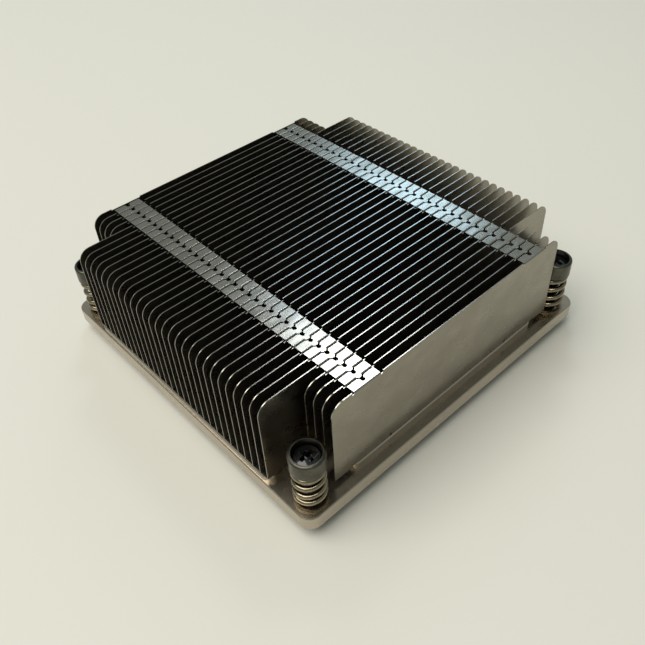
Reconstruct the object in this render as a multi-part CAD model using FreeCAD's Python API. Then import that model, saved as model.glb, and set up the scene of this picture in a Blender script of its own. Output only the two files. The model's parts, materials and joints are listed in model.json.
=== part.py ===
import FreeCAD, Part
import math
import os
from FreeCAD import Vector

# Passive heatsink for a square server processor socket, low enough for a one-unit chassis.
# Millimetres, +Z up. X runs along the fins, Y through the stack from front to back.
# The origin is at the bottom centre: Z = 0 is the plane of the four screw tips, on which
# the free heatsink stands. Every other place is worked out from the sizes below.

# --- screw pattern and base plate ---
screw_spacing = 80.0        # centre to centre, both ways: the socket's own square pattern
ear_margin = 5.0            # screw centre to the plate's outer edge
plate_thickness = 3.65       # the plate at the corner ears and the front and back ledges
plate_corner_radius = 3.0
plate_edge_chamfer = 0.2
cross_height = 1.45          # raised cross that carries the fins, above the plate
cross_corner_radius = 2.0   # outer corners of the cross
cross_cutter_radius = 3.0   # inner corners, left by the milling cutter
cross_edge_chamfer = 0.25
front_arm_width = 60.4      # width of the cross under the short fins, along X
arm_margin = 0.2            # the cross stands this far out of the fins it carries

# --- fin stack ---
fin_count = 36
fin_thickness = 0.2
fin_height = 22.1
fin_corner_radius = 3.0
front_ledge = 2.9          # from the plate's front edge to the front fin
fin_end_margin = 0.5        # long fins stop this far inside the plate's side edges
sleeve_to_fin = 1.05         # gap between a screw sleeve and the ends of the short fins
notch_clearance = 2.55       # gap between a screw sleeve and the first long fin, at least

# --- folded tabs along the top, which lock each fin to the next one ---
tab_offset = 25.8           # centre of each row of tabs, from the middle of the fins
tab_width = 6.9
tab_drop = 0.3              # the tabs lie this far below the fins' top edges
tab_relief_width = 0.6      # slit in the fin beside each tab
tab_relief_depth = 0.65
bend_radius = 0.3          # outer radius of every fold
tab_seam = 0.3              # slot between a tab's free edge and the next fin
lock_mouth = 1.8            # width of the flared mouth in a tab's free edge
lock_mouth_depth = 0.45
lock_hole_radius = 0.5      # round hole at the bottom of the mouth
tongue_width = 1.3          # at its root; it points from a fold into the last fin's mouth
tongue_length = 0.35

# --- folded feet along the bottom, soldered to the cross ---
foot_gap = 0.1
foot_relief_width = 0.6
foot_relief_height = 0.9
foot_middle_width = 38.4    # middle foot, between the two inner reliefs

# --- spring-loaded screws ---
thread_radius = 2.0         # crests of an M4 thread
shank_radius = 2.2          # plain shoulder above the thread
screw_clearance = 0.08      # radial running clearance in the base and in the sleeve
tip_drop = 3.0              # the tip stands this far below the plate, with the spring at rest
tip_chamfer = 0.4
head_radius = 2.9
head_height = 2.1
head_edge_radius = 0.45
recess_width = 3.4          # cross recess in the head
recess_slot = 0.9
recess_depth = 1.2
sleeve_radius = 3.75
sleeve_wall = 0.7
sleeve_height = 4.0
sleeve_floor = 0.9
sleeve_edge_radius = 0.5    # rounded rim
seat_gap = 0.04             # air between pieces that only press on each other

# --- springs ---
spring_height = 9.65         # as fitted, from the ear to the sleeve
spring_wire_radius = 0.6
spring_radius = 3.0         # to the wire's centre
spring_end_pitch = 1.25     # closed coils at the ends
spring_bottom_turns = 1.0
spring_middle_turns = 2.5
spring_top_turns = 0.5
spring_points_per_turn = 16

# --- retaining rings, each in a groove of its screw and a recess under its ear ---
ring_radius = 3.5
ring_rim = 1.3              # width of the rim
ring_thickness = 0.6
ring_opening = 2.8
ring_tooth_width = 1.4
groove_radius = 1.5
ring_clearance = 0.05       # ring to groove, all round
ring_recess_depth = 0.7
ring_recess_clearance = 0.3 # ring to the recess's wall

# --- how far every cut runs out of the metal ---
overcut = 1.0

# --- worked out ---
base_side = screw_spacing + 2 * ear_margin
stack_depth = base_side - 2 * front_ledge
fin_pitch = (stack_depth - fin_thickness) / (fin_count - 1)
long_fin_length = base_side - 2 * fin_end_margin
short_fin_length = screw_spacing - 2 * (sleeve_radius + sleeve_to_fin)
notch_wall_y = screw_spacing / 2 - sleeve_radius - notch_clearance
plate_bottom = tip_drop
plate_top = plate_bottom + plate_thickness
cross_top = plate_top + cross_height
sleeve_bottom = plate_top + spring_height
sleeve_inner_radius = sleeve_radius - sleeve_wall
passage_radius = shank_radius + screw_clearance
head_bottom = sleeve_bottom + sleeve_floor + seat_gap
ring_top = plate_bottom + ring_recess_depth - seat_gap
ring_recess_radius = ring_radius + ring_recess_clearance
groove_top = ring_top + ring_clearance
groove_bottom = ring_top - ring_thickness - ring_clearance


def fin_front(index):
    """Y of a fin's front face; fin 0 is the front one."""
    return -stack_depth / 2 + index * fin_pitch


def is_long(index):
    """Fins near the corner notches are short, so that they clear the screws."""
    if index < 0 or index >= fin_count:
        return False
    middle = fin_front(index) + fin_thickness / 2
    return abs(middle) <= notch_wall_y


def box(x0, x1, y0, y1, z0, z1):
    return Part.makeBox(x1 - x0, y1 - y0, z1 - z0, Vector(x0, y0, z0))


def extrude_polygon(points, height):
    """Prism on a flat polygon given as vectors, extruded along Z."""
    wire = Part.makePolygon(points + [points[0]])
    return Part.Face(wire).extrude(Vector(0, 0, height))


def vertical_edges(shape, test):
    """Straight edges along Z whose place passes the test."""
    found = []
    for edge in shape.Edges:
        low, high = edge.BoundBox.ZMin, edge.BoundBox.ZMax
        upright = edge.BoundBox.XLength < 1e-6 and edge.BoundBox.YLength < 1e-6
        if upright and high - low > 1e-6 and test(edge.CenterOfMass):
            found.append(edge)
    return found


def make_cross(side_arm_half, front_arm_half):
    """Raised cross: side arms under the long fins, front and back arms under the short ones."""
    side_x = long_fin_length / 2 + arm_margin
    front_x = front_arm_width / 2
    side = box(-side_x, side_x, -side_arm_half, side_arm_half, plate_top, cross_top)
    front = box(-front_x, front_x, -front_arm_half, front_arm_half, plate_top, cross_top)
    cross = side.fuse(front).removeSplitter()

    def is_inner(place):
        return abs(place.x) < front_x + overcut and abs(place.y) < side_arm_half + overcut

    outer = vertical_edges(cross, lambda place: not is_inner(place))
    cross = cross.makeFillet(cross_corner_radius, outer)
    inner = vertical_edges(cross, is_inner)
    cross = cross.makeFillet(cross_cutter_radius, inner)
    top_face = max(cross.Faces, key=lambda face: face.CenterOfMass.z)
    return cross.makeChamfer(cross_edge_chamfer, top_face.OuterWire.Edges)


def make_base_plate():
    """One nickel-plated plate: thin square with corner ears, and the raised cross on it."""
    half = base_side / 2
    plate = box(-half, half, -half, half, plate_bottom, plate_top)
    plate = plate.makeFillet(plate_corner_radius, vertical_edges(plate, lambda place: True))
    for side in (1, -1):
        face = max(plate.Faces, key=lambda face: side * face.CenterOfMass.z)
        plate = plate.makeChamfer(plate_edge_chamfer, face.OuterWire.Edges)
    first_long = next(index for index in range(fin_count) if is_long(index))
    side_arm_half = -fin_front(first_long) + arm_margin
    front_arm_half = stack_depth / 2 + arm_margin
    body = plate.fuse(make_cross(side_arm_half, front_arm_half)).removeSplitter()
    passage = cylinder(passage_radius, plate_bottom - overcut, plate_top + overcut)
    recess = cylinder(ring_recess_radius, plate_bottom - overcut, plate_bottom + ring_recess_depth)
    for x, y in screw_places().values():
        body = body.cut(placed(passage.fuse(recess), x, y))
    return body


def folded_strip(x0, x1, y, leg_end, fold, reach):
    """Strip of sheet with one fold: an upright leg from leg_end to the fold's outer plane at
    height fold, and a flat leg that reaches back along Y. It serves tabs and feet alike."""
    sign = 1 if fold > leg_end else -1
    outer, inner = bend_radius, bend_radius - fin_thickness
    centre_y, centre_z = y + outer, fold - sign * outer

    def corner(radius):
        diagonal = radius / math.sqrt(2)
        return Vector(x0, centre_y - diagonal, centre_z + sign * diagonal)

    outer_low, outer_high = Vector(x0, y, centre_z), Vector(x0, centre_y, fold)
    inner_low = Vector(x0, y + fin_thickness, centre_z)
    inner_high = Vector(x0, centre_y, fold - sign * fin_thickness)
    end_high, end_low = Vector(x0, y + reach, fold), Vector(x0, y + reach, inner_high.z)
    leg_front, leg_back = Vector(x0, y, leg_end), Vector(x0, y + fin_thickness, leg_end)
    edges = [
        Part.makeLine(leg_front, outer_low),
        Part.Arc(outer_low, corner(outer), outer_high).toShape(),
        Part.makeLine(outer_high, end_high),
        Part.makeLine(end_high, end_low),
        Part.makeLine(end_low, inner_high),
        Part.Arc(inner_high, corner(inner), inner_low).toShape(),
        Part.makeLine(inner_low, leg_back),
        Part.makeLine(leg_back, leg_front),
    ]
    return Part.Face(Part.Wire(edges)).extrude(Vector(x1 - x0, 0, 0))


def make_fin_sheet(length, y):
    """Flat sheet with two rounded top corners."""
    half, top = length / 2, cross_top + fin_height
    sheet = box(-half, half, y, y + fin_thickness, cross_top, top)
    corners = []
    for edge in sheet.Edges:
        place = edge.CenterOfMass
        across = edge.BoundBox.XLength < 1e-6 and edge.BoundBox.ZLength < 1e-6
        if across and place.z > top - 1e-6:
            corners.append(edge)
    return sheet.makeFillet(fin_corner_radius, corners)


def lock_cut(centre, edge_y, z):
    """Flared mouth with a round hole at its bottom, cut into a tab's free edge."""
    mouth, neck = lock_mouth / 2, lock_hole_radius * 0.7
    bottom_y = edge_y - lock_mouth_depth
    low = z - 2 * fin_thickness
    height = 4 * fin_thickness
    points = [
        Vector(centre - mouth, edge_y, low),
        Vector(centre - neck, bottom_y, low),
        Vector(centre + neck, bottom_y, low),
        Vector(centre + mouth, edge_y, low),
        Vector(centre + mouth, edge_y + fin_thickness, low),
        Vector(centre - mouth, edge_y + fin_thickness, low),
    ]
    hole_y = bottom_y - lock_hole_radius / 2
    hole = Part.makeCylinder(lock_hole_radius, height, Vector(centre, hole_y, low))
    return extrude_polygon(points, height).fuse(hole)


def make_tongue(centre, y, fold):
    """Small tongue at the middle of a fold, pointing to the front."""
    root, tip = tongue_width / 2, tongue_width / 4
    low = fold - fin_thickness
    points = [
        Vector(centre - root, y + bend_radius, low),
        Vector(centre - root, y, low),
        Vector(centre - tip, y - tongue_length, low),
        Vector(centre + tip, y - tongue_length, low),
        Vector(centre + root, y, low),
        Vector(centre + root, y + bend_radius, low),
    ]
    return extrude_polygon(points, fin_thickness)


def add_tabs(fin, index):
    """Two top tabs, each between two slits. The last fin has nothing to hold, so its edge is
    only lowered there."""
    y = fin_front(index)
    top = cross_top + fin_height
    fold = top - tab_drop
    leg_end = top - tab_relief_depth
    reach = fin_pitch - tab_seam
    for centre in (-tab_offset, tab_offset):
        x0, x1 = centre - tab_width / 2, centre + tab_width / 2
        slit_x0, slit_x1 = x0 - tab_relief_width, x1 + tab_relief_width
        cut_end = leg_end if index < fin_count - 1 else fold
        fin = fin.cut(box(slit_x0, slit_x1, y - overcut, y + overcut, cut_end, top + overcut))
        if index == fin_count - 1:
            continue
        tab = folded_strip(x0, x1, y, leg_end, fold, reach)
        tab = tab.cut(lock_cut(centre, y + reach, fold))
        if index > 0:
            tab = tab.fuse(make_tongue(centre, y, fold))
        fin = fin.fuse(tab)
    return fin


def foot_spans(index):
    """X ranges of a fin's feet. Feet stay on the cross: the outer pair is there only where
    this fin and the next one are both long."""
    relief = foot_relief_width / 2
    middle, arm = foot_middle_width / 2, front_arm_width / 2
    spans = [(-middle + relief, middle - relief)]
    spans += mirrored(middle + relief, arm - relief)
    if is_long(index) and is_long(index + 1):
        spans += mirrored(arm + relief, long_fin_length / 2)
    return spans


def mirrored(low, high):
    return [(low, high), (-high, -low)]


def add_feet(fin, index):
    """Folded feet with a small relief notch between each two of them."""
    y = fin_front(index)
    if index == fin_count - 1:
        return fin
    relief = foot_relief_width / 2
    leg_end = cross_top + foot_relief_height
    spans = foot_spans(index)
    for x0, x1 in spans:
        fin = fin.cut(box(x0 - relief, x1 + relief, y - overcut, y + overcut, cross_top - overcut, leg_end))
    for x0, x1 in spans:
        fin = fin.fuse(folded_strip(x0, x1, y, leg_end, cross_top, fin_pitch - foot_gap))
    return fin


def make_fin(index):
    """One stamped fin with its tabs and feet."""
    length = long_fin_length if is_long(index) else short_fin_length
    fin = make_fin_sheet(length, fin_front(index))
    fin = add_tabs(fin, index)
    fin = add_feet(fin, index)
    return fin.removeSplitter()


def screw_places():
    """Corner names with the X and Y of their screws."""
    half = screw_spacing / 2
    return {
        "front_left": (-half, -half),
        "front_right": (half, -half),
        "back_left": (-half, half),
        "back_right": (half, half),
    }


def cylinder(radius, z0, z1):
    return Part.makeCylinder(radius, z1 - z0, Vector(0, 0, z0))


def edges_at(shape, z, radius):
    """Circular edges at one height with one radius."""
    found = []
    for edge in shape.Edges:
        flat = edge.BoundBox.ZLength < 1e-6 and abs(edge.BoundBox.ZMin - z) < 1e-6
        if flat and abs(edge.BoundBox.XMax - radius) < 1e-6:
            found.append(edge)
    return found


def make_screw():
    """Screw on the Z axis: pan head with a cross recess, shoulder, ring groove and thread."""
    head_top = head_bottom + head_height
    head = cylinder(head_radius, head_bottom, head_top)
    head = head.makeFillet(head_edge_radius, edges_at(head, head_top, head_radius))
    shank = cylinder(shank_radius, groove_top, head_bottom + head_height / 2)
    neck = cylinder(groove_radius, groove_bottom, groove_top)
    thread = cylinder(thread_radius, 0, groove_bottom)
    thread = thread.makeChamfer(tip_chamfer, edges_at(thread, 0, thread_radius))
    screw = head.fuse(shank).fuse(neck).fuse(thread)
    long, narrow = recess_width / 2, recess_slot / 2
    floor = head_top - recess_depth
    for x, y in ((long, narrow), (narrow, long)):
        screw = screw.cut(box(-x, x, -y, y, floor, head_top + overcut))
    return screw.removeSplitter()


def make_sleeve():
    """Cup that holds the screw's head and presses on the spring."""
    top = sleeve_bottom + sleeve_height
    body = cylinder(sleeve_radius, sleeve_bottom, top)
    body = body.makeFillet(sleeve_edge_radius, edges_at(body, top, sleeve_radius))
    body = body.cut(cylinder(sleeve_inner_radius, sleeve_bottom + sleeve_floor, top + overcut))
    return body.cut(cylinder(passage_radius, sleeve_bottom - overcut, top))


def spring_height_at(turn, rise):
    """Height of the wire's centre above its start: closed, open, then closed again."""
    open_rise = rise - spring_end_pitch * (spring_bottom_turns + spring_top_turns)
    open_pitch = open_rise / spring_middle_turns
    first = min(turn, spring_bottom_turns)
    second = min(max(turn - spring_bottom_turns, 0), spring_middle_turns)
    third = max(turn - spring_bottom_turns - spring_middle_turns, 0)
    return spring_end_pitch * (first + third) + open_pitch * second


def make_spring():
    """Compression spring on the Z axis with closed ends, clear of the ear and the sleeve."""
    start = plate_top + seat_gap + spring_wire_radius
    rise = spring_height - 2 * (seat_gap + spring_wire_radius)
    turns = spring_bottom_turns + spring_middle_turns + spring_top_turns
    steps = round(turns * spring_points_per_turn)
    points = []
    for step in range(steps + 1):
        turn = turns * step / steps
        angle = 2 * math.pi * turn
        x, y = spring_radius * math.cos(angle), spring_radius * math.sin(angle)
        points.append(Vector(x, y, start + spring_height_at(turn, rise)))
    path = Part.BSplineCurve()
    path.interpolate(points)
    section = Part.Circle(points[0], path.tangent(0)[0], spring_wire_radius)
    coil = Part.Wire(path.toShape()).makePipeShell([Part.Wire(section.toShape())], True, True)
    return coil


def make_retaining_ring():
    """Open ring with three teeth that sit in the screw's groove."""
    low = ring_top - ring_thickness
    ring = cylinder(ring_radius, low, ring_top)
    ring = ring.cut(cylinder(ring_radius - ring_rim, low - overcut, ring_top + overcut))
    half = ring_tooth_width / 2
    for angle in (0, 120, 240):
        tooth = box(0, ring_radius - ring_rim / 2, -half, half, low, ring_top)
        tooth.rotate(Vector(0, 0, 0), Vector(0, 0, 1), angle)
        ring = ring.fuse(tooth)
    ring = ring.cut(cylinder(groove_radius + ring_clearance, low - overcut, ring_top + overcut))
    mouth_half = ring_opening / 2
    mouth = box(-2 * ring_radius, 0, -mouth_half, mouth_half, low - overcut, ring_top + overcut)
    return ring.cut(mouth).removeSplitter()


def placed(shape, x, y):
    copy = shape.copy()
    copy.translate(Vector(x, y, 0))
    return copy


def all_nodes():
    """Every node of the heatsink with its solid."""
    nodes = {"base_plate": make_base_plate()}
    for index in range(fin_count):
        nodes["fin_%02d" % (index + 1)] = make_fin(index)
    corner_pieces = {
        "screw": make_screw(),
        "screw_sleeve": make_sleeve(),
        "spring": make_spring(),
        "retaining_ring": make_retaining_ring(),
    }
    for corner, (x, y) in screw_places().items():
        for name, shape in corner_pieces.items():
            nodes[name + "_" + corner] = placed(shape, x, y)
    return nodes


def main():
    os.makedirs("parts", exist_ok=True)
    for name, shape in all_nodes().items():
        shape.exportStep("parts/" + name + ".step")


main()
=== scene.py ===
import json
import math

import bpy
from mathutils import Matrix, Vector


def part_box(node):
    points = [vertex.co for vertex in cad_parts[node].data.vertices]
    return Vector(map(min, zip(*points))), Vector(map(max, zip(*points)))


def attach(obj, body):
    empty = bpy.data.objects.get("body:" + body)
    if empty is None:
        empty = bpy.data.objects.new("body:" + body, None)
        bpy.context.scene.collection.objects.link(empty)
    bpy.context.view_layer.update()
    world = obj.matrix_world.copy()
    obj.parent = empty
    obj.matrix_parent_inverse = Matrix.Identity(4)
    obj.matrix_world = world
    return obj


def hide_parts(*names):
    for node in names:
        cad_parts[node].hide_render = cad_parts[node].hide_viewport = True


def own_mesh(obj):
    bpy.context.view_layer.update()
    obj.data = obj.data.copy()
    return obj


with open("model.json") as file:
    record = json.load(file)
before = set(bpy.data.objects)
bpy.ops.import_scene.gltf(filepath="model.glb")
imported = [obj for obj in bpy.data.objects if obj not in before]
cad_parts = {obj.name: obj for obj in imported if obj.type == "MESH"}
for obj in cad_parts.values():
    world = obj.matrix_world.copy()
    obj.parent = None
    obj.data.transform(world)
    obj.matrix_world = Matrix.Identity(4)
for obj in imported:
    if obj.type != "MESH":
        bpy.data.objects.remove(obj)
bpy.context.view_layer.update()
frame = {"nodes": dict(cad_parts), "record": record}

MM = 0.001
CORNERS = ("front_left", "front_right", "back_left", "back_right")
FINS = sorted(name for name in frame["nodes"] if name.startswith("fin_"))
FIN_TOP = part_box(FINS[0])[1].z
STACK = Vector((0, 0, FIN_TOP))     # middle of the fins' top edges

# --- screws, where the frame gives no size ---
THREAD_PITCH = 0.7 * MM         # M4 coarse thread
THREAD_DEPTH = 0.4 * MM
THREAD_RADIUS = 2.0 * MM        # at the crests
THREAD_FLAT = 0.1154            # flat share of the pitch, at the crest and at the root
THREAD_ROWS_PER_PITCH = 10
TIP_CHAMFER = 0.4 * MM
SHANK_RADIUS = 2.2 * MM
GROOVE_RADIUS = 1.5 * MM        # groove that holds the retaining ring
GROOVE_CLEARANCE = 0.05 * MM    # above and below the ring
HEAD_HEIGHT = 2.1 * MM
HEAD_CROWN = 0.3 * MM           # rise of the pan head's middle over its rim
HEAD_ROUNDING = 0.5 * MM
HEAD_STEPS = 8                  # rings in the rounding, and in the crown
RECESS_SPAN = 3.5 * MM          # cross recess, tip to tip at the top
RECESS_SLOT = 0.95 * MM
RECESS_DEPTH = 1.3 * MM
RECESS_TAPER = 0.45             # the recess's span at the bottom over that at the top
RECESS_OVERCUT = 0.26 * MM      # the plug that cuts the recess stands out of the head
ROUND_SEGMENTS = 96
SCREW_SHARP_DEG = 40            # edges sharper than this are shaded sharp

# --- springs ---
SPRING_WIRE_RADIUS = 0.6 * MM
SPRING_CLOSED_PITCH = 1.25 * MM
SPRING_BOTTOM_TURNS = 1.0       # closed
SPRING_OPEN_TURNS = 2.5
SPRING_TOP_TURNS = 0.5          # closed
COIL_STEPS_PER_TURN = 48
WIRE_SEGMENTS = 20
SPRING_SHARP_DEG = 50

# --- patterns and stage ---
NOISE_MIDDLE = {"From Min": 0.3, "From Max": 0.7}   # most of a noise lies between these
FACING = {"From Min": 0.5, "From Max": 0.9}         # of a normal's part along one axis
SEED_STEPS = (1.0, 1.7, 2.3)                        # a seed moves a noise along X, Y and Z
FLOOR_REACH = 6.0
CAMERA_FROM_STACK = Vector((-89.1, -105.0, 99.8)) * MM
CAMERA_TURN_DEG = (46.72, 2.37, -43.16)


def colour(hex_code):
    """sRGB hex value as linear red, green, blue and alpha."""
    linear = []
    for at in (0, 2, 4):
        value = int(hex_code[at:at + 2], 16) / 255
        linear.append(value / 12.92 if value <= 0.04045 else ((value + 0.055) / 1.055) ** 2.4)
    return (*linear, 1.0)


def add(tree, kind, inputs=None, **settings):
    """One node with its settings, values and links. A linked node gives its first output in use."""
    made = tree.nodes.new(kind)
    for name, value in settings.items():
        setattr(made, name, value)
    for socket, value in (inputs or {}).items():
        if isinstance(value, bpy.types.Node):
            value = next(output for output in value.outputs if output.enabled)
        if isinstance(value, bpy.types.NodeSocket):
            tree.links.new(value, made.inputs[socket])
        else:
            made.inputs[socket].default_value = value
    return made


def new_material(name):
    made = bpy.data.materials.new(name)
    made.use_nodes = True
    made.node_tree.nodes.clear()
    return made, made.node_tree


def shade(tree, inputs):
    shader = add(tree, "ShaderNodeBsdfPrincipled", inputs)
    add(tree, "ShaderNodeOutputMaterial", {"Surface": shader})


def grain(tree, size_mm, detail=3.0, seed=0.0):
    """Noise whose grain along X, Y and Z is given in millimetres."""
    stretched = add(tree, "ShaderNodeMapping", {
        "Vector": add(tree, "ShaderNodeTexCoord").outputs["Object"],
        "Location": [seed * step for step in SEED_STEPS],
        "Scale": [1 / (size * MM) for size in size_mm],
    })
    return add(tree, "ShaderNodeTexNoise", {
        "Vector": stretched, "Scale": 1.0, "Detail": detail, "Roughness": 0.6,
    })


def tones(tree, noise, dark, light):
    """A metal's colour, which a noise varies from dark to light."""
    share = add(tree, "ShaderNodeMapRange", {"Value": noise, **NOISE_MIDDLE})
    return add(tree, "ShaderNodeMix", {"Factor": share, "A": colour(dark), "B": colour(light)},
               data_type="RGBA")


def make_rolled_aluminium():
    """Bare rolled aluminium sheet: satin grey with faint streaks along the rolling direction,
    which is the fins' length, and slight waves left by the folding. The folding tool has
    pressed the flat tabs smoother than the upright faces. The large faces, which face along Y,
    are painted a little darker and warmer: painted shade and a painted warm reflection of the
    shaded floor in front of them. Real rolling streaks are about 0.05 mm wide; these are
    drawn 0.35 mm wide, so that they show."""
    material, tree = new_material("rolled_aluminium_sheet")
    streaks = grain(tree, (14.0, 2.0, 0.35), detail=4.0)
    clouds = grain(tree, (9.0, 2.4, 6.0), detail=2.0, seed=5.0)
    waves = grain(tree, (7.0, 3.0, 3.5), detail=1.0, seed=9.0)
    smudges = grain(tree, (4.0, 2.4, 3.0), detail=5.0, seed=12.0)
    fine = add(tree, "ShaderNodeBump", {"Height": streaks, "Strength": 0.2, "Distance": 0.004 * MM})
    wavy = add(tree, "ShaderNodeBump", {
        "Height": waves, "Strength": 0.5, "Distance": 0.12 * MM, "Normal": fine,
    })
    normal = add(tree, "ShaderNodeNewGeometry").outputs["Normal"]
    way = add(tree, "ShaderNodeSeparateXYZ", {"Vector": normal})
    upright = add(tree, "ShaderNodeMapRange", {
        "Value": way.outputs["Z"], **FACING, "To Min": 0.08, "To Max": 0.0,
    })
    worn = add(tree, "ShaderNodeMapRange", {
        "Value": smudges, **NOISE_MIDDLE, "To Min": 0.17, "To Max": 0.25,
    })
    # painted shade: faces along Y get a darker, warmer colour, standing in for the shaded floor they mirror
    across = add(tree, "ShaderNodeMath", {0: way.outputs["Y"]}, operation="ABSOLUTE")
    broad_face_shade = add(tree, "ShaderNodeMapRange", {"Value": across, **FACING})
    shade(tree, {
        "Base Color": add(tree, "ShaderNodeMix", {
            "Factor": broad_face_shade,
            "A": tones(tree, clouds, "9E9B92", "ADAAA1"),
            # painted shade: the darker, warmer pair, used on the faces along Y
            "B": tones(tree, clouds, "8D877B", "9A9487"),
        }, data_type="RGBA"),
        "Roughness": add(tree, "ShaderNodeMath", {0: worn, 1: upright}, operation="ADD"),
        "Metallic": 1.0,
        "Normal": wavy,
    })
    return material


def make_nickel_plating():
    """Nickel plating on milled copper: warm grey and glossy enough to mirror the springs and
    fins, with faint cutter lines under it and dull smudges from handling. The lines are as
    far apart as a finishing cutter's feed, 0.3 mm."""
    material, tree = new_material("bright_nickel_plating")
    clouds = grain(tree, (16.0, 16.0, 5.0), detail=4.0)
    smudges = grain(tree, (5.0, 4.0, 3.0), detail=5.0, seed=6.0)
    lines = grain(tree, (11.0, 0.3, 0.6), detail=3.0, seed=3.0)
    waves = grain(tree, (6.0, 4.0, 4.0), detail=1.0, seed=8.0)
    cutter = add(tree, "ShaderNodeBump", {"Height": lines, "Strength": 0.3, "Distance": 0.004 * MM})
    shade(tree, {
        "Base Color": tones(tree, clouds, "B2A899", "BFB5A5"),
        "Roughness": add(tree, "ShaderNodeMapRange", {
            "Value": smudges, **NOISE_MIDDLE, "To Min": 0.2, "To Max": 0.3,
        }),
        "Metallic": 1.0,
        "Normal": add(tree, "ShaderNodeBump", {
            "Height": waves, "Strength": 0.4, "Distance": 0.1 * MM, "Normal": cutter,
        }),
    })
    return material


def make_turned_steel():
    """Zinc-plated steel turned on a lathe: dark silver grey, with fine rings around the axis
    as far apart as the lathe's feed, 0.12 mm."""
    material, tree = new_material("turned_zinc_plated_steel")
    rings = grain(tree, (40.0, 40.0, 0.12), detail=2.0)
    clouds = grain(tree, (2.5, 2.5, 2.5), detail=2.0, seed=2.0)
    shade(tree, {
        "Base Color": tones(tree, clouds, "484740", "5F5D53"),
        "Roughness": add(tree, "ShaderNodeMapRange", {
            "Value": rings, **NOISE_MIDDLE, "To Min": 0.27, "To Max": 0.38,
        }),
        "Metallic": 1.0,
        "Normal": add(tree, "ShaderNodeBump", {
            "Height": rings, "Strength": 0.5, "Distance": 0.01 * MM,
        }),
    })
    return material


def make_spring_wire():
    """Drawn spring steel wire: bright and smooth, a little warm, with faint patches as long as
    two wires are thick."""
    material, tree = new_material("drawn_spring_steel")
    clouds = grain(tree, (1.2, 1.2, 0.8), detail=2.0)
    shade(tree, {
        "Base Color": tones(tree, clouds, "7F7662", "998F79"),
        "Roughness": add(tree, "ShaderNodeMapRange", {
            "Value": clouds, **NOISE_MIDDLE, "To Min": 0.12, "To Max": 0.18,
        }),
        "Metallic": 1.0,
    })
    return material


def make_black_zinc():
    """Black zinc plating on steel: nearly black, glossy under its clear sealer. The plating's
    grain is a few hundredths of a millimetre; it is drawn 0.5 mm wide, so that it shows."""
    material, tree = new_material("black_zinc_plated_steel")
    specks = grain(tree, (0.5, 0.5, 0.5), detail=3.0)
    shade(tree, {
        "Base Color": tones(tree, specks, "101012", "26262A"),
        "Roughness": add(tree, "ShaderNodeMapRange", {
            "Value": specks, **NOISE_MIDDLE, "To Min": 0.14, "To Max": 0.26,
        }),
        "Metallic": 0.8,
        "Coat Weight": 1.0,
        "Coat Roughness": 0.06,
    })
    return material


def make_phosphated_steel():
    """Phosphated spring steel: dark, dull grey. Its crystals are a few hundredths of a
    millimetre; they are drawn 0.3 mm wide, so that they show."""
    material, tree = new_material("phosphated_spring_steel")
    specks = grain(tree, (0.3, 0.3, 0.3), detail=2.0)
    shade(tree, {
        "Base Color": tones(tree, specks, "2E2D2B", "454340"),
        "Roughness": 0.5,
        "Metallic": 0.8,
    })
    return material


def paint(piece, material):
    piece.data.materials.clear()
    piece.data.materials.append(material)


def new_piece(name, mesh, material, body):
    """A piece that is made here, painted and riding on its body."""
    piece = bpy.data.objects.new(name, mesh)
    bpy.context.scene.collection.objects.link(piece)
    paint(piece, material)
    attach(piece, body)
    return piece


def mesh_from(name, vertices, faces):
    mesh = bpy.data.meshes.new(name)
    mesh.from_pydata(vertices, [], faces)
    mesh.update()
    return mesh


def skin(name, rings):
    """Closed mesh through rings of as many points each, which all turn counterclockwise as
    seen from beyond the last one."""
    count = len(rings[0])
    points = [point for ring in rings for point in ring]
    last = len(points) - count
    faces = []
    for first in range(0, last, count):
        for side in range(count):
            a, b = first + side, first + (side + 1) % count
            faces.append((a, b, b + count, a + count))
    faces.append(tuple(reversed(range(count))))
    faces.append(tuple(range(last, last + count)))
    return mesh_from(name, points, faces)


def smooth(mesh, sharp_deg):
    """Smooth shading that keeps edges sharper than the angle."""
    mesh.shade_smooth()
    mesh.set_sharp_from_angle(angle=math.radians(sharp_deg))


def cut_away(mesh, plug):
    """The mesh less the plug."""
    solid = bpy.data.objects.new("solid", mesh)
    cutter = bpy.data.objects.new("cutter", plug)
    for piece in (solid, cutter):
        bpy.context.scene.collection.objects.link(piece)
    cut = solid.modifiers.new("cut", "BOOLEAN")
    cut.object = cutter
    cut.operation = "DIFFERENCE"
    cut.solver = "EXACT"
    graph = bpy.context.evaluated_depsgraph_get()
    rest = bpy.data.meshes.new_from_object(solid.evaluated_get(graph))
    for piece in (solid, cutter):
        bpy.data.objects.remove(piece)
    return rest


def screw_axis(corner):
    low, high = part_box("screw_" + corner)
    return Vector(((low.x + high.x) / 2, (low.y + high.y) / 2, 0))


def thread_radius_at(height, turn):
    """Radius of the threaded end at a height and an angle in turns, with its chamfered tip."""
    place = (height / THREAD_PITCH - turn) % 1
    from_crest = abs(2 * place - 1)
    sunk = (from_crest - THREAD_FLAT) / (1 - 2 * THREAD_FLAT)
    thread = THREAD_RADIUS - THREAD_DEPTH * min(max(sunk, 0), 1)
    return min(thread, THREAD_RADIUS - TIP_CHAMFER + height)


def head_profile(top, radius):
    """Heights and radii over the head's rounding and crown, without the middle."""
    rim, flat = top - HEAD_CROWN, radius - HEAD_ROUNDING
    profile = []
    for step in range(HEAD_STEPS + 1):
        angle = math.pi / 2 * step / HEAD_STEPS
        profile.append((rim - HEAD_ROUNDING * (1 - math.sin(angle)),
                        flat + HEAD_ROUNDING * math.cos(angle)))
    for step in range(1, HEAD_STEPS):
        share = 1 - step / HEAD_STEPS
        profile.append((top - HEAD_CROWN * share ** 2, flat * share))
    return profile


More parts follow.
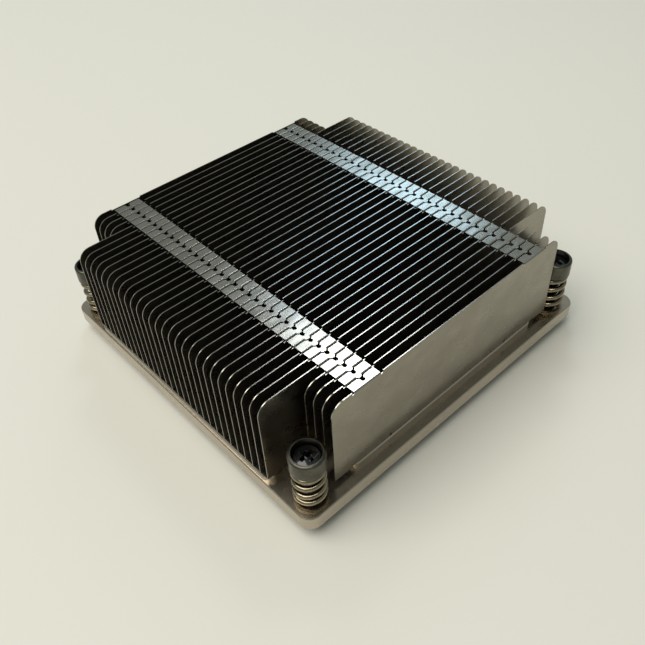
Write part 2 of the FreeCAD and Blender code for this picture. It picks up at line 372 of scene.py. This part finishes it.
def round_ring(axis, height, radii):
    """Points around the axis, one for each radius."""
    ring = []
    for side, radius in enumerate(radii):
        around = math.tau * side / len(radii)
        ring.append(axis + Vector((radius * math.cos(around), radius * math.sin(around), height)))
    return ring


def make_recess_plug(axis, top):
    """Cross-shaped plug that narrows towards its bottom."""
    reach, slot = RECESS_SPAN / 2, RECESS_SLOT / 2
    outline = []
    for quarter in range(4):
        turn = math.pi / 2 * quarter
        for x, y in ((reach, -slot), (reach, slot), (slot, slot)):
            outline.append((x * math.cos(turn) - y * math.sin(turn),
                            x * math.sin(turn) + y * math.cos(turn)))
    rings = []
    for height, share in ((top - RECESS_DEPTH, RECESS_TAPER), (top, 1), (top + RECESS_OVERCUT, 1)):
        rings.append([(axis.x + x * share, axis.y + y * share, height) for x, y in outline])
    return skin("recess", rings)


def make_screw_mesh(corner):
    """Pan-head screw with its tip at height 0: thread, ring groove, shoulder and crowned head,
    with a tapered cross recess cut in."""
    low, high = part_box("screw_" + corner)
    ring_low, ring_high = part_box("retaining_ring_" + corner)
    axis = screw_axis(corner)
    groove_low, groove_high = ring_low.z - GROOVE_CLEARANCE, ring_high.z + GROOVE_CLEARANCE
    head_low = high.z - HEAD_HEIGHT
    head_radius = (high.x - low.x) / 2
    profile = [
        (groove_low, GROOVE_RADIUS), (groove_high, GROOVE_RADIUS),
        (groove_high, SHANK_RADIUS), (head_low, SHANK_RADIUS),
        (head_low, head_radius), *head_profile(high.z, head_radius),
    ]
    rows = round(THREAD_ROWS_PER_PITCH * groove_low / THREAD_PITCH)
    rings = []
    for row in range(rows + 1):
        height = groove_low * row / rows
        turns = [side / ROUND_SEGMENTS for side in range(ROUND_SEGMENTS)]
        rings.append(round_ring(axis, height, [thread_radius_at(height, turn) for turn in turns]))
    for height, radius in profile:
        rings.append(round_ring(axis, height, [radius] * ROUND_SEGMENTS))
    mesh = cut_away(skin("screw", rings), make_recess_plug(axis, high.z))
    mesh.name = "pan_head_screw_" + corner
    smooth(mesh, SCREW_SHARP_DEG)
    return mesh


def make_screw(corner, screw_finish):
    piece = new_piece("pan_head_screw_" + corner, make_screw_mesh(corner), screw_finish,
                      "screw_" + corner)
    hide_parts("screw_" + corner)


def make_coil_mesh(corner, low, high):
    """Spring with closed ends, ground flat to the heights of its box."""
    axis = screw_axis(corner)
    radius = (high.x - low.x) / 2 - SPRING_WIRE_RADIUS
    rise = high.z - low.z - 2 * SPRING_WIRE_RADIUS
    closed_turns = SPRING_BOTTOM_TURNS + SPRING_TOP_TURNS
    open_pitch = (rise - SPRING_CLOSED_PITCH * closed_turns) / SPRING_OPEN_TURNS
    turns = closed_turns + SPRING_OPEN_TURNS
    steps = round(turns * COIL_STEPS_PER_TURN)
    rings = []
    for step in range(steps + 1):
        turn = turns * step / steps
        closed = min(turn, SPRING_BOTTOM_TURNS) + max(turn - SPRING_BOTTOM_TURNS - SPRING_OPEN_TURNS, 0)
        height = SPRING_CLOSED_PITCH * closed + open_pitch * (turn - closed)
        out = Vector((math.cos(math.tau * turn), math.sin(math.tau * turn), 0))
        centre = axis + radius * out + Vector((0, 0, low.z + SPRING_WIRE_RADIUS + height))
        ring = []
        for side in range(WIRE_SEGMENTS):
            around = math.tau * side / WIRE_SEGMENTS
            point = centre + SPRING_WIRE_RADIUS * (math.cos(around) * out + Vector((0, 0, math.sin(around))))
            point.z = min(max(point.z, low.z), high.z)
            ring.append(point)
        rings.append(ring)
    mesh = skin("coil_" + corner, rings[::-1])
    smooth(mesh, SPRING_SHARP_DEG)
    return mesh


def make_spring(corner, wire_finish):
    """Compression spring, riding on the heatsink. The real one is squeezed as its sleeve is pressed down."""
    node = "spring_" + corner
    low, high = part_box(node)
    piece = new_piece("coil_spring_" + corner, make_coil_mesh(corner, low, high), wire_finish,
                      "heatsink")
    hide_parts(node)
    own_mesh(piece)


def paint_cad_nodes(finishes):
    for subpart in frame["record"]["subparts"]:
        paint(frame["nodes"][subpart["node"]], finishes[subpart["material_slot"]])


def make_floor():
    """Plain pale floor under the screw tips."""
    material, tree = new_material("pale_floor")
    shade(tree, {"Base Color": colour("D1D0C7"), "Roughness": 0.6, "Specular IOR Level": 0.3})
    corners = [(FLOOR_REACH * x, FLOOR_REACH * y, 0) for x, y in ((-1, -1), (1, -1), (1, 1), (-1, 1))]
    floor = bpy.data.objects.new("floor", mesh_from("floor", corners, [(0, 1, 2, 3)]))
    bpy.context.scene.collection.objects.link(floor)
    paint(floor, material)


def make_softbox(name, azimuth_deg, elevation_deg, distance, size, watts, hex_code):
    """Soft area light aimed at the fins. Azimuth is counted from +X towards +Y."""
    azimuth, elevation = math.radians(azimuth_deg), math.radians(elevation_deg)
    direction = Vector((
        math.cos(elevation) * math.cos(azimuth),
        math.cos(elevation) * math.sin(azimuth),
        math.sin(elevation),
    ))
    light = bpy.data.lights.new(name, "AREA")
    light.shape = "RECTANGLE"
    light.size, light.size_y = size
    light.energy = watts
    light.color = colour(hex_code)[:3]
    lamp = bpy.data.objects.new(name, light)
    lamp.location = STACK + distance * direction
    lamp.rotation_euler = direction.to_track_quat("Z", "Y").to_euler()
    bpy.context.scene.collection.objects.link(lamp)


def make_world():
    world = bpy.data.worlds.new("studio")
    world.use_nodes = True
    tree = world.node_tree
    tree.nodes.clear()
    glow = add(tree, "ShaderNodeBackground", {"Color": colour("D1D9D4"), "Strength": 0.46})
    add(tree, "ShaderNodeOutputWorld", {"Surface": glow})
    bpy.context.scene.world = world


def make_camera():
    data = bpy.data.cameras.new("camera")
    data.sensor_width = 36
    data.lens = 40.5
    data.shift_x = -0.0094
    data.shift_y = -0.0043
    data.clip_start = 0.01
    camera = bpy.data.objects.new("camera", data)
    camera.location = STACK + CAMERA_FROM_STACK
    camera.rotation_euler = [math.radians(angle) for angle in CAMERA_TURN_DEG]
    bpy.context.scene.collection.objects.link(camera)
    bpy.context.scene.camera = camera


def main():
    finishes = {
        "plated_base": make_nickel_plating(),
        "fin_aluminium": make_rolled_aluminium(),
        "plated_sleeve": make_turned_steel(),
        "black_screw": make_black_zinc(),
        "spring_steel": make_spring_wire(),
        "ring_steel": make_phosphated_steel(),
    }
    paint_cad_nodes(finishes)
    for corner in CORNERS:
        make_spring(corner, finishes["spring_steel"])
        make_screw(corner, finishes["black_screw"])
    make_camera()
    make_floor()
    make_world()
    make_softbox("overhead_softbox", azimuth_deg=160, elevation_deg=64, distance=1.2,
                 size=(1.2, 1.2), watts=17, hex_code="FFFAF2")
    make_softbox("lamp", azimuth_deg=45, elevation_deg=50.5, distance=1.0,
                 size=(0.2, 0.14), watts=0.8, hex_code="F6FAFF")
    make_softbox("window_middle", azimuth_deg=46, elevation_deg=41, distance=1.0,
                 size=(0.2, 0.1), watts=0.2, hex_code="AED8FF")
    make_softbox("window_low", azimuth_deg=40, elevation_deg=34, distance=1.0,
                 size=(0.2, 0.1), watts=0.3, hex_code="BFE4FF")
    bpy.context.scene.view_settings.view_transform = "Standard"


main()
